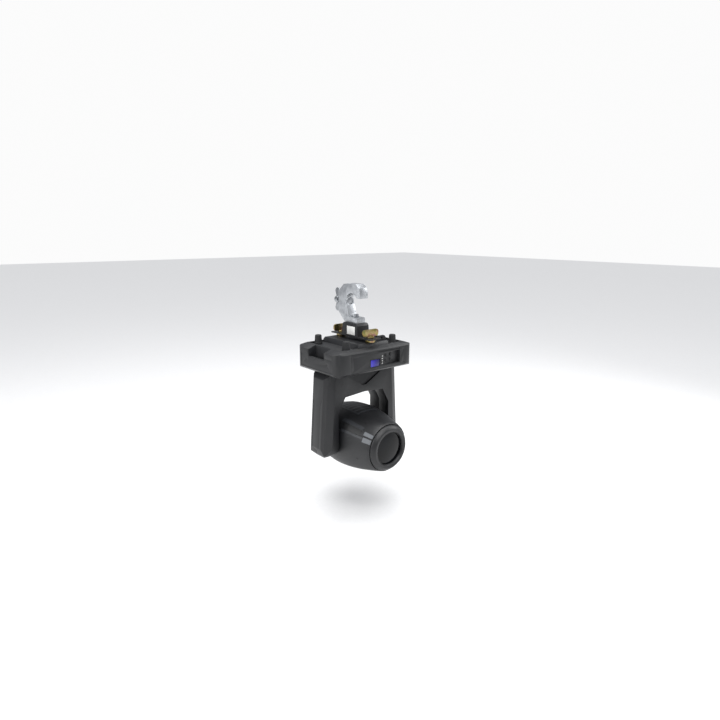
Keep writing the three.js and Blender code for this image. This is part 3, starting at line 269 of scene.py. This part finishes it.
def printed_film(name, shade, paler):
    """A printed polyester label: even and slightly sheened."""
    material, tree, shader, place = new_material(name)
    fleck = node(tree, "ShaderNodeTexNoise", {"Vector": place, "Scale": 120.0, "Detail": 4.0})
    tint = ramp(tree, fleck.outputs["Fac"], [(0.3, colour(shade)), (0.7, colour(paler))])
    tree.links.new(tint, shader.inputs["Base Color"])
    tree.links.new(spread(tree, fleck.outputs["Fac"], 0.32, 0.45), shader.inputs["Roughness"])
    return material


FINISH = {
    "casing": textured_abs("textured_charcoal_abs", "#101113", "#191a1d", 0.43),
    "rubber": moulded_rubber("moulded_black_rubber"),
    "black_steel": powder_coat("black_powder_coat", "#0f1012", "#1a1b1e"),
    "cast_aluminium": worked_metal("satin_cast_aluminium", "#a9acb0", "#cdd0d3", 0.4, 1.4, (1, 1, 1)),
    "steel": worked_metal("zinc_plated_steel", "#8f9296", "#b9bcbf", 0.32, 0.8, (1, 6, 6)),
    "yellow_zinc": yellow_passivated_zinc("yellow_passivated_zinc"),
    "glass": coated_glass("coated_optical_glass", "#030405", "#0a0e13"),
    "screen": lit_screen("backlit_blue_display"),
    "board": printed_film("green_circuit_board", "#12452a", "#1d6a40"),
    "belt": moulded_rubber("toothed_belt_rubber"),
    "dichroic": coated_glass("dichroic_glass", "#3a5fa8", "#a04a78"),
    "blue": textured_abs("blue_socket_nylon", "#1f57a6", "#2d6cc4", 0.4),
}
PALE_TRIM = textured_abs("grey_abs", "#5d6064", "#74777b", 0.48)
# painted light: a paler grey for the head's top panel and shoulder ledges, standing in for light falling on their
# upward faces
PAINTED_LIGHT_ABS = textured_abs("painted_light_grey_abs", "#222427", "#303236", 0.36)
WHITE_FILM = printed_film("white_label_film", "#e2e2de", "#f2f2ee")
# blackened steel for the screws and the screen's frame, and also painted shade: the dark strips in the grooves,
# the head channels and the vent slots
BLACK_STEEL_AND_PAINTED_SHADE = powder_coat("blackened_steel_and_painted_shade", "#0b0c0d", "#191a1c")


# ------------------------------------------------------------------ making pieces


def keep(bm, name, body, material, replaces=()):
    """Turns a finished bmesh into a piece that rides on its body."""
    mesh = bpy.data.meshes.new(name)
    for face in bm.faces:
        face.smooth = True
    bm.to_mesh(mesh)
    bm.free()
    mesh.set_sharp_from_angle(angle=SHARP_ANGLE)
    mesh.materials.append(material)
    piece = bpy.data.objects.new(name, mesh)
    bpy.context.scene.collection.objects.link(piece)
    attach(piece, body)
    if replaces:
        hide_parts(*replaces)
    return piece


def round_edges(bm, width, segments, above=28):
    edges = [e for e in bm.edges if len(e.link_faces) == 2 and e.calc_face_angle(0) > radians(above)]
    bmesh.ops.bevel(
        bm,
        geom=edges,
        offset=width,
        offset_type="OFFSET",
        affect="EDGES",
        segments=segments,
        profile=0.5,
        clamp_overlap=True,
        material=-1,
    )


def soften_corners(bm, width, upright_only=False):
    """Rounds the shallow outside corners, where a moulding turns in broad facets."""
    edges = []
    for edge in bm.edges:
        if len(edge.link_faces) != 2 or not edge.is_convex:
            continue
        along = (edge.verts[1].co - edge.verts[0].co).normalized()
        turn = edge.calc_face_angle(0)
        if radians(12) < turn < radians(60) and (abs(along.z) > 0.8 or not upright_only):
            edges.append(edge)
    bmesh.ops.bevel(
        bm,
        geom=edges,
        offset=width,
        offset_type="OFFSET",
        affect="EDGES",
        segments=6,
        profile=0.5,
        clamp_overlap=True,
        material=-1,
    )


def merged_copy(node_name):
    """The node's own shape, merged, with the flat triangles joined into faces."""
    bm = bmesh.new()
    bm.from_mesh(frame["nodes"][node_name].data)
    bmesh.ops.remove_doubles(bm, verts=bm.verts, dist=MERGE_DISTANCE)
    bmesh.ops.dissolve_limit(bm, angle_limit=radians(0.4), verts=bm.verts, edges=bm.edges)
    return bm


def eased(node_name, radius_mm, segments, above=28, soft_mm=0.0, upright_only=False):
    """A piece with its corners eased as a mould, casting or press leaves them."""
    bm = merged_copy(node_name)
    if soft_mm:
        soften_corners(bm, soft_mm * MM, upright_only)
    round_edges(bm, radius_mm * MM, segments, above)
    slot_name = SLOT_OF[node_name]
    finish = FINISH[slot_name]
    return keep(bm, node_name + "_eased", BODY_OF[node_name], finish, [node_name])


def bar(centre, size, ease_mm=0.5):
    bm = bmesh.new()
    bmesh.ops.create_cube(bm, size=1.0)
    bmesh.ops.scale(bm, vec=Vector(size), verts=bm.verts)
    round_edges(bm, ease_mm * MM, 2)
    bmesh.ops.translate(bm, vec=Vector(centre), verts=bm.verts)
    return bm


def pour(into, extra):
    """Adds one bmesh's shape to another."""
    carrier = bpy.data.meshes.new("carrier")
    extra.to_mesh(carrier)
    extra.free()
    into.from_mesh(carrier)
    bpy.data.meshes.remove(carrier)


def turned(profile, steps=64):
    """Spins a profile of (radius, height) round Z; the ends on the axis are closed."""
    bm = bmesh.new()
    verts = [bm.verts.new((r, 0, h)) for r, h in profile]
    for a, b in zip(verts, verts[1:]):
        bm.edges.new((a, b))
    bmesh.ops.spin(
        bm,
        geom=bm.verts[:] + bm.edges[:],
        cent=(0, 0, 0),
        axis=(0, 0, 1),
        angle=2 * pi,
        steps=steps,
        use_merge=True,
    )
    bmesh.ops.remove_doubles(bm, verts=bm.verts, dist=MERGE_DISTANCE)
    bmesh.ops.recalc_face_normals(bm, faces=bm.faces)
    return bm


def stand(bm, place, direction):
    """Turns a shape made along Z to point a given way from a given place."""
    turn = Vector(direction).to_track_quat("Z", "Y").to_matrix().to_4x4()
    bm.transform(Matrix.Translation(Vector(place)) @ turn)
    return bm


def countersunk_screw(radius_mm):
    """A screw head with a round dimple for its recess, closed underneath."""
    r = radius_mm * MM
    floor = -0.5 * MM
    dimple = -0.3 * MM
    profile = [(0, dimple), (0.3 * r, dimple), (0.36 * r, 0.25 * MM), (0.8 * r, 0.15 * MM)]
    profile += [(0.95 * r, 0), (r, floor), (0, floor)]
    return turned(profile, 24)


# ------------------------------------------------------------------ clamp and bracket


def make_clamp_and_bracket():
    eased("clamp_hook", 1.6, 3)
    eased("clamp_pressure_pad", 0.8, 2)
    eased("clamp_wing_bolt", 1.2, 3)
    eased("mounting_bolt", 0.6, 2)
    eased("omega_bracket", 1.1, 3)
    eased("safety_eye", 1.0, 3)
    label = bar((-22.3 * MM, -6 * MM, -81 * MM), (0.4 * MM, 36 * MM, 24 * MM), 0.15)
    keep(label, "bracket_label", "base", WHITE_FILM)
    for end in ("front", "rear"):
        eased(f"camlock_{end}", 1.4, 3)
        eased(f"camlock_receptacle_{end}", 0.7, 2)


# ------------------------------------------------------------------ base


def make_base():
    eased("base_shell", 1.6, 3, above=34, soft_mm=9.0, upright_only=True)
    eased("base_top_plate", 1.2, 3)
    eased("base_bottom_plate", 0.8, 2)
    for end in ("left", "right"):
        eased(f"handle_{end}", 1.1, 3)
        for row in ("front", "rear"):
            eased(f"foot_{row}_{end}", 0.8, 2)
    eased("display_panel", 0.7, 2)
    eased("lcd_screen", 0.4, 2)
    for i in range(1, 5):
        eased(f"menu_button_{i}", 0.8, 3)
    eased("connector_panel", 0.7, 2)
    for name in ("power_inlet", "data_input", "data_output"):
        eased(name, 0.8, 2)


def make_socket_contacts():
    """Round contact pins in the sockets: thick ones for power, thin ones for data."""
    circle = 4.6 * MM
    depth = 13 * MM
    for name, count, pin_radius in (
        ("power_inlet", 3, 2.6 * MM),
        ("data_input", 3, 1.5 * MM),
        ("data_output", 5, 1.5 * MM),
    ):
        low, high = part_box(name)
        middle = (Vector(low) + Vector(high)) / 2
        profile = [(0, 8 * MM), (0.7 * pin_radius, 7.6 * MM), (pin_radius, 6 * MM), (pin_radius, 0), (0, 0)]
        pins = bmesh.new()
        for k in range(count):
            a = 2 * pi * k / count + pi / 2
            place = (middle.x + circle * cos(a), high[1] - depth, middle.z + circle * sin(a))
            pour(pins, stand(turned(profile, 16), place, (0, 1, 0)))
        keep(pins, f"{name}_pins", "base", FINISH["steel"])


def make_display_trim():
    """The frame round the screen, the status lights, the panel's screws, and black strips painted as the shade in
    the joint round the panel.
    """
    surround = bmesh.new()
    screen_x, screen_z = -8, -163
    for dx, dz, width, height in (
        (0, 11.2, 39, 1.6),
        (0, -11.2, 39, 1.6),
        (18.6, 0, 1.6, 24),
        (-18.6, 0, 1.6, 24),
    ):
        middle = ((screen_x + dx) * MM, BASE_FRONT - 0.2 * MM, (screen_z + dz) * MM)
        pour(surround, bar(middle, (width * MM, 0.8 * MM, height * MM), 0.3))
    keep(surround, "screen_surround", "base", BLACK_STEEL_AND_PAINTED_SHADE)

    lights = bmesh.new()
    dome = [(0, 0.9 * MM), (1.0 * MM, 0.7 * MM), (1.5 * MM, 0), (0, 0)]
    top_light, light_pitch = -146, 7
    for k in range(4):
        place = (18 * MM, BASE_FRONT, (top_light - light_pitch * k) * MM)
        pour(lights, stand(turned(dome, 20), place, (0, -1, 0)))
    keep(lights, "status_lights", "base", WHITE_FILM)

    # painted shade: thin black strips standing in for the shadow in the groove round the display panel
    groove_shade = bmesh.new()
    for left, right, low, high in (
        (-96.6, -95.6, -182, -128),
        (107.6, 108.6, -182, -128),
        (-96, 108, -128.5, -127.7),
        (-96, 108, -182.6, -181.8),
    ):
        middle = ((left + right) / 2 * MM, BASE_FRONT - 0.1 * MM, (low + high) / 2 * MM)
        pour(groove_shade, bar(middle, ((right - left) * MM, 0.5 * MM, (high - low) * MM), 0.1))
    keep(groove_shade, "display_panel_groove_shade", "base", BLACK_STEEL_AND_PAINTED_SHADE)

    screws = bmesh.new()
    for x, z in ((-88, -139), (100, -139), (-88, -175.5), (100, -175.5)):
        place = (x * MM, BASE_FRONT + 0.2 * MM, z * MM)
        pour(screws, stand(countersunk_screw(3.9), place, (0, -1, 0)))
    keep(screws, "display_panel_screws", "base", BLACK_STEEL_AND_PAINTED_SHADE)


def make_grip_screws():
    """Two screws on the grip at each end of the base, and black strips painted as the shade in the groove round
    the grip.
    """
    for name, side in (("left", -1), ("right", 1)):
        screws = bmesh.new()
        for end in (-1, 1):
            place = (side * 142.4 * MM, end * 49 * MM, -159 * MM)
            pour(screws, stand(countersunk_screw(4.4), place, (side, 0, 0)))
        keep(screws, f"grip_screws_{name}", "base", BLACK_STEEL_AND_PAINTED_SHADE)

        # painted shade: thin black strips standing in for the shadow in the groove round the grip
        groove_shade = bmesh.new()
        x = side * 142.6 * MM
        for back, front, low, high in (
            (-72.6, -71.4, -178, -141),
            (71.4, 72.6, -178, -141),
            (-72, 72, -178.6, -177.4),
            (-72, -39, -141.5, -140.3),
            (39, 72, -141.5, -140.3),
        ):
            middle = (x, (back + front) / 2 * MM, (low + high) / 2 * MM)
            pour(groove_shade, bar(middle, (0.6 * MM, (front - back) * MM, (high - low) * MM), 0.1))
        keep(groove_shade, f"grip_groove_shade_{name}", "base", BLACK_STEEL_AND_PAINTED_SHADE)


# ------------------------------------------------------------------ yoke


def make_yoke():
    for cover in ("yoke_front_cover", "yoke_rear_cover"):
        eased(cover, 1.6, 3, above=40, soft_mm=6.0)
    for side in ("left", "right"):
        eased(f"arm_side_cover_{side}", 1.2, 3, above=40, soft_mm=5.0)
    screws = bmesh.new()
    cover_face = 43 * MM
    for side in (-1, 1):
        for x, z in ((84, -226), (108, -288), (113, -366)):
            for face in (-1, 1):
                place = (side * x * MM, face * cover_face, z * MM)
                pour(screws, stand(countersunk_screw(3.2), place, (0, face, 0)))
    keep(screws, "yoke_cover_screws", "yoke", BLACK_STEEL_AND_PAINTED_SHADE)


# ------------------------------------------------------------------ head


# Distance ahead of the tilt axis and radius of the barrel there, in millimetres.
HEAD_LINE = [
    (146, 70), (135, 73.2), (124, 75.8), (112, 78), (96, 81.3), (80, 84),
    (60, 86.8), (40, 89), (20, 90.4), (0, 91), (-20, 90.2), (-40, 88),
    (-60, 84.4), (-80, 79), (-94, 73.6), (-105, 67), (-114, 58.5), (-122, 48),
]
HEAD_MOUTH = HEAD_LINE[0][0]


def squareness(ahead_mm):
    """The section's power: 2, a circle, at the lens end, and squarer towards the middle."""
    t = min(max((HEAD_MOUTH - ahead_mm) / HEAD_MOUTH, 0), 1)
    return 2 + 0.7 * sin(t * pi / 2)


def head_radius(ahead_mm):
    for (d0, r0), (d1, r1) in zip(HEAD_LINE, HEAD_LINE[1:]):
        if d1 <= ahead_mm <= d0:
            return r0 + (r1 - r0) * (d0 - ahead_mm) / (d0 - d1)
    return HEAD_LINE[-1][1]


def square_off(bm):
    """Draws a round barrel along Y out to the head's softly square section."""
    for v in bm.verts:
        x, z = v.co.x, v.co.z
        r = (x * x + z * z) ** 0.5
        if r < 1e-6:
            continue
        n = squareness(-v.co.y / MM)
        grow = (abs(x / r) ** n + abs(z / r) ** n) ** (-1 / n)
        v.co.x, v.co.z = x * grow, z * grow


def head_skin(front, back, name, replaced, low=None, high=None):
    """One cover of the head: part of the barrel, given its wall and eased edges."""
    stations = [front] + [d for d, _ in HEAD_LINE if back < d < front] + [back]
    profile = [((head_radius(d) - 0.1) * MM, d * MM) for d in stations]
    closed_back = back <= -HEAD_BACK / MM + 0.5
    if closed_back:
        profile.append((0, back * MM))
    bm = turned(profile, 120)
    bm.transform(Matrix.Rotation(radians(90), 4, "X"))
    square_off(bm)
    bmesh.ops.translate(bm, vec=Vector((0, 0, TILT_AXIS)), verts=bm.verts)
    for height, clear_low in ((low, True), (high, False)):
        if height is None:
            continue
        bmesh.ops.bisect_plane(
            bm,
            geom=bm.verts[:] + bm.edges[:] + bm.faces[:],
            plane_co=(0, 0, height),
            plane_no=(0, 0, 1),
            clear_inner=clear_low,
            clear_outer=not clear_low,
        )
    bmesh.ops.recalc_face_normals(bm, faces=bm.faces)
    middle = Vector((0, 0, TILT_AXIS))
    outward = sum(f.normal.dot(f.calc_center_median() - middle) for f in bm.faces)
    if outward < 0:
        bmesh.ops.reverse_faces(bm, faces=bm.faces)
    bmesh.ops.solidify(bm, geom=bm.faces[:], thickness=COVER_WALL)
    bmesh.ops.recalc_face_normals(bm, faces=bm.faces)
    round_edges(bm, 0.7 * MM, 2, 50)
    keep(bm, name, "head", FINISH["casing"], replaced)


def make_head():
    seam = TILT_AXIS + 42 * MM
    gap = 0.2 * MM
    head_skin(HEAD_MOUTH, -79.9, "head_upper_skin", ["head_cover_upper"], low=seam + gap)
    head_skin(HEAD_MOUTH, -79.9, "head_lower_skin", ["head_cover_lower"], high=seam - gap)
    head_skin(-80.3, -121.9, "head_rear_skin", ["head_rear_cover"])
    make_head_vents()
    make_head_trim()
    eased("front_bezel", 0.6, 2, above=40)
    eased("front_lens", 0.3, 2, above=50)


def on_head(angle_deg, ahead_mm, proud_mm):
    """A place on the head's skin, by the angle from +X and the distance ahead."""
    a = radians(angle_deg)
    n = squareness(ahead_mm)
    r = head_radius(ahead_mm) * (abs(cos(a)) ** n + abs(sin(a)) ** n) ** (-1 / n) + proud_mm
    return Vector((r * cos(a) * MM, -ahead_mm * MM, TILT_AXIS + r * sin(a) * MM))


def skin_strip(bm, angles, ahead, proud_mm, depth_mm, across, along):
    """A raised pad that follows the head's curve, between two angles and two distances."""
    grid = bmesh.ops.create_grid(bm, x_segments=across, y_segments=along, size=1)
    for v in grid["verts"]:
        turn = (v.co.x + 1) / 2
        run = (v.co.y + 1) / 2
        angle = angles[0] + (angles[1] - angles[0]) * turn
        v.co = on_head(angle, ahead[0] + (ahead[1] - ahead[0]) * run, proud_mm)
    bm.faces.index_update()
    made = list({face for v in grid["verts"] for face in v.link_faces})
    made.sort(key=lambda face: face.index)
    bmesh.ops.recalc_face_normals(bm, faces=made)
    outward = 0
    for face in made:
        middle = face.calc_center_median()
        outward += face.normal.dot(middle - Vector((0, middle.y, TILT_AXIS)))
    if outward < 0:
        bmesh.ops.reverse_faces(bm, faces=made)
    bmesh.ops.solidify(bm, geom=made, thickness=depth_mm * MM)


def make_head_vents():
    """Dark bars of painted shade in the vent slots of a grey panel on top of the head, and across its back; the
    panel is real, its paler grey is painted light from above.
    """
    # painted light: the top panel's paler grey stands in for light falling on the top of the head
    panel = bmesh.new()
    skin_strip(panel, (66, 114), (-52, 58), 0.5, 1.0, 14, 20)
    keep(panel, "head_top_panel", "head", PAINTED_LIGHT_ABS)
    # painted shade: dark bars standing in for the shade in the vent slots
    vent_shade = bmesh.new()
    pitch, width = 17, 8
    for k in range(6):
        ahead = (-44 + pitch * k, -44 + pitch * k + width)
        skin_strip(vent_shade, (70, 88.5), ahead, 0.75, 0.5, 8, 3)
        skin_strip(vent_shade, (91.5, 110), ahead, 0.75, 0.5, 8, 3)
    keep(vent_shade, "head_top_vent_shade", "head", BLACK_STEEL_AND_PAINTED_SHADE)
    rear = bmesh.new()
    rear_pitch = 9 * MM
    for k in range(-3, 4):
        middle = (0, 121.6 * MM, TILT_AXIS + rear_pitch * k)
        pour(rear, bar(middle, (68 * MM, 0.6 * MM, 3.6 * MM), 0.2))
    keep(rear, "head_rear_vent_shade", "head", BLACK_STEEL_AND_PAINTED_SHADE)


def both_shoulders(angles):
    """The same stretch of skin on the left shoulder and, mirrored, on the right one."""
    return angles, (180 - angles[0], 180 - angles[1])


def make_head_trim():
    """Lengthwise channels on the upper shoulders, drawn as dark strips of painted shade between ledges painted
    paler as painted light, their grey end tabs and the screws.
    """
    # painted shade: proud dark strips stand in for the shade in the recessed channels
    channel_shade = bmesh.new()
    for angles in both_shoulders((139, 150)):
        skin_strip(channel_shade, angles, (38, 106), 0.35, 0.8, 5, 18)
    keep(channel_shade, "head_channel_shade", "head", BLACK_STEEL_AND_PAINTED_SHADE)
    # painted light: the ledges' paler grey stands in for light on their upward facets
    lit_ledges = bmesh.new()
    for angles in both_shoulders((131, 138)):
        skin_strip(lit_ledges, angles, (30, 108), 0.8, 1.4, 4, 20)
    for angles in both_shoulders((151, 155)):
        skin_strip(lit_ledges, angles, (38, 116), 0.8, 1.4, 4, 20)
    keep(lit_ledges, "head_channel_ledges_lit", "head", PAINTED_LIGHT_ABS)
    tabs = bmesh.new()
    for angles in both_shoulders((138, 146)):
        skin_strip(tabs, angles, (116, 145), 0.8, 1.4, 5, 10)
    for angles in both_shoulders((150, 160)):
        skin_strip(tabs, angles, (118, 145), 0.8, 1.4, 5, 8)
    keep(tabs, "head_corner_tabs", "head", PALE_TRIM)
    screws = bmesh.new()
    for angle in (45, 122, 200, 340):
        place = on_head(angle, 100, 0.3)
        outward = (place.x, 0, place.z - TILT_AXIS)
        pour(screws, stand(countersunk_screw(3.0), place, outward))
    keep(screws, "head_cover_screws", "head", BLACK_STEEL_AND_PAINTED_SHADE)


# ------------------------------------------------------------------ parts out of sight


def finish_inner_pieces():
    """Gives the pieces inside the covers their finishes."""
    for name, cad in frame["nodes"].items():
        if cad.hide_render:
            continue
        finish = FINISH[SLOT_OF[name]]
        if not cad.material_slots:
            cad.data.materials.append(finish)
        for held in cad.material_slots:
            held.material = finish


# ------------------------------------------------------------------ studio


def make_studio():
    floor_height = -0.62
    floor_mesh = bpy.data.meshes.new("floor")
    bm = bmesh.new()
    bmesh.ops.create_grid(bm, x_segments=1, y_segments=1, size=14)
    bmesh.ops.translate(bm, vec=Vector((0, 0, floor_height)), verts=bm.verts)
    bm.to_mesh(floor_mesh)
    bm.free()
    floor = bpy.data.objects.new("floor", floor_mesh)
    bpy.context.scene.collection.objects.link(floor)
    floor_mesh.materials.append(printed_film("pale_floor", "#f0f0f0", "#f4f4f4"))
    world = bpy.data.worlds.new("studio")
    world.use_nodes = True
    sky = world.node_tree
    room = sky.nodes["Background"]
    room.inputs["Color"].default_value = (0.93, 0.95, 1.0, 1)
    room.inputs["Strength"].default_value = 0.34
    wall = node(sky, "ShaderNodeBackground", {"Color": (1, 1, 1, 1), "Strength": 0.97})
    seen = node(sky, "ShaderNodeLightPath").outputs["Is Camera Ray"]
    both = node(sky, "ShaderNodeMixShader", {"Fac": seen})
    sky.links.new(room.outputs[0], both.inputs[1])
    sky.links.new(wall.outputs[0], both.inputs[2])
    sky.links.new(both.outputs[0], sky.nodes["World Output"].inputs["Surface"])
    bpy.context.scene.world = world
    lamps = [
        ("key", (-0.9, -1.5, 1.7), 1.4, 26),
        ("left_fill", (-1.9, 0.3, 0.4), 1.2, 12),
        ("right_rim", (1.5, -0.5, 0.7), 1.0, 12),
        ("top", (0.1, 0.5, 1.7), 1.4, 16),
    ]
    for name, place, size, power in lamps:
        data = bpy.data.lights.new(name, "AREA")
        data.size = size
        data.energy = power
        lamp = bpy.data.objects.new(name, data)
        lamp.location = place
        aim = Vector((0, 0, -0.25)) - Vector(place)
        lamp.rotation_euler = aim.to_track_quat("-Z", "Y").to_euler()
        bpy.context.scene.collection.objects.link(lamp)
    sky_light = bpy.data.lights.new("ceiling", "SUN")
    sky_light.energy = 2.0
    sky_light.angle = 1.2
    ceiling = bpy.data.objects.new("ceiling", sky_light)
    bpy.context.scene.collection.objects.link(ceiling)
    bpy.context.scene.view_settings.view_transform = "Standard"


place_camera()
make_clamp_and_bracket()
make_base()
make_socket_contacts()
make_display_trim()
make_grip_screws()
make_yoke()
make_head()
finish_inner_pieces()
make_studio()

bpy.context.view_layer.update()
